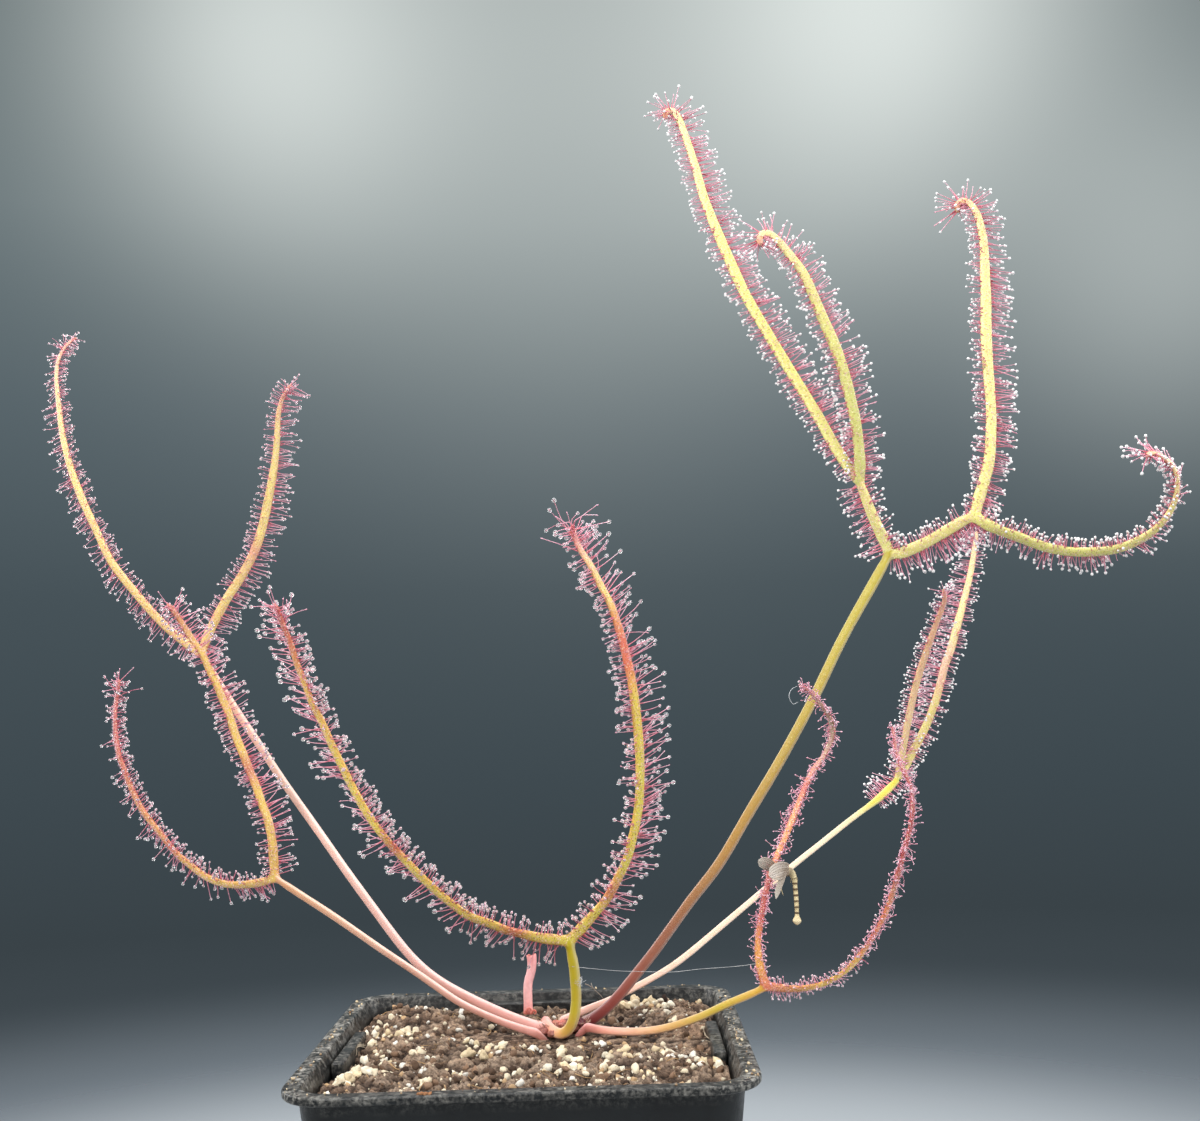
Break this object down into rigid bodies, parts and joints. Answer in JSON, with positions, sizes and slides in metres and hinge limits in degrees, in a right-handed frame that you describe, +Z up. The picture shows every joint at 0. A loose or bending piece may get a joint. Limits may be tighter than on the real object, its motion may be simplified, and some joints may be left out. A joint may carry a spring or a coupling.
{
  "type": "sundew plant",
  "caption": "Sundew plant with long stalks and forked, dew-tipped leaves, growing in a square black nursery pot of peat and perlite.",
  "frame": {"origin": "centre of the pot's flat underside, on the pot's axis", "axes": "+Z up along the pot's axis, -Y towards the front of the pot, +X to the right seen from the front"},
  "size_m": [0.2825, 0.1453, 0.3151],
  "materials": {
    "pot_plastic": "satin",
    "peat": "matte",
    "perlite": "matte",
    "crown_tissue": "satin",
    "leaf_front": "satin",
    "leaf_left_low": "satin",
    "leaf_left_high": "satin",
    "leaf_right_high": "satin",
    "leaf_right_back": "satin",
    "leaf_right_low": "satin",
    "petiole_stub": "satin",
    "tentacle": "satin",
    "dew": "gloss",
    "fly_body": "matte",
    "fly_wing": "satin",
    "silk": "satin"
  },
  "bodies": {
    "root": {"pot": "pot_plastic", "soil": "peat", "crown": "crown_tissue", "leaf_front": "leaf_front", "leaf_left_low": "leaf_left_low", "leaf_left_high": "leaf_left_high", "leaf_right_high": "leaf_right_high", "leaf_right_back": "leaf_right_back", "leaf_right_low": "leaf_right_low", "petiole_stub": "petiole_stub", "fly_body": "fly_body", "fly_wing_upper": "fly_wing", "fly_wing_lower": "fly_wing"}
  },
  "joints": []
}
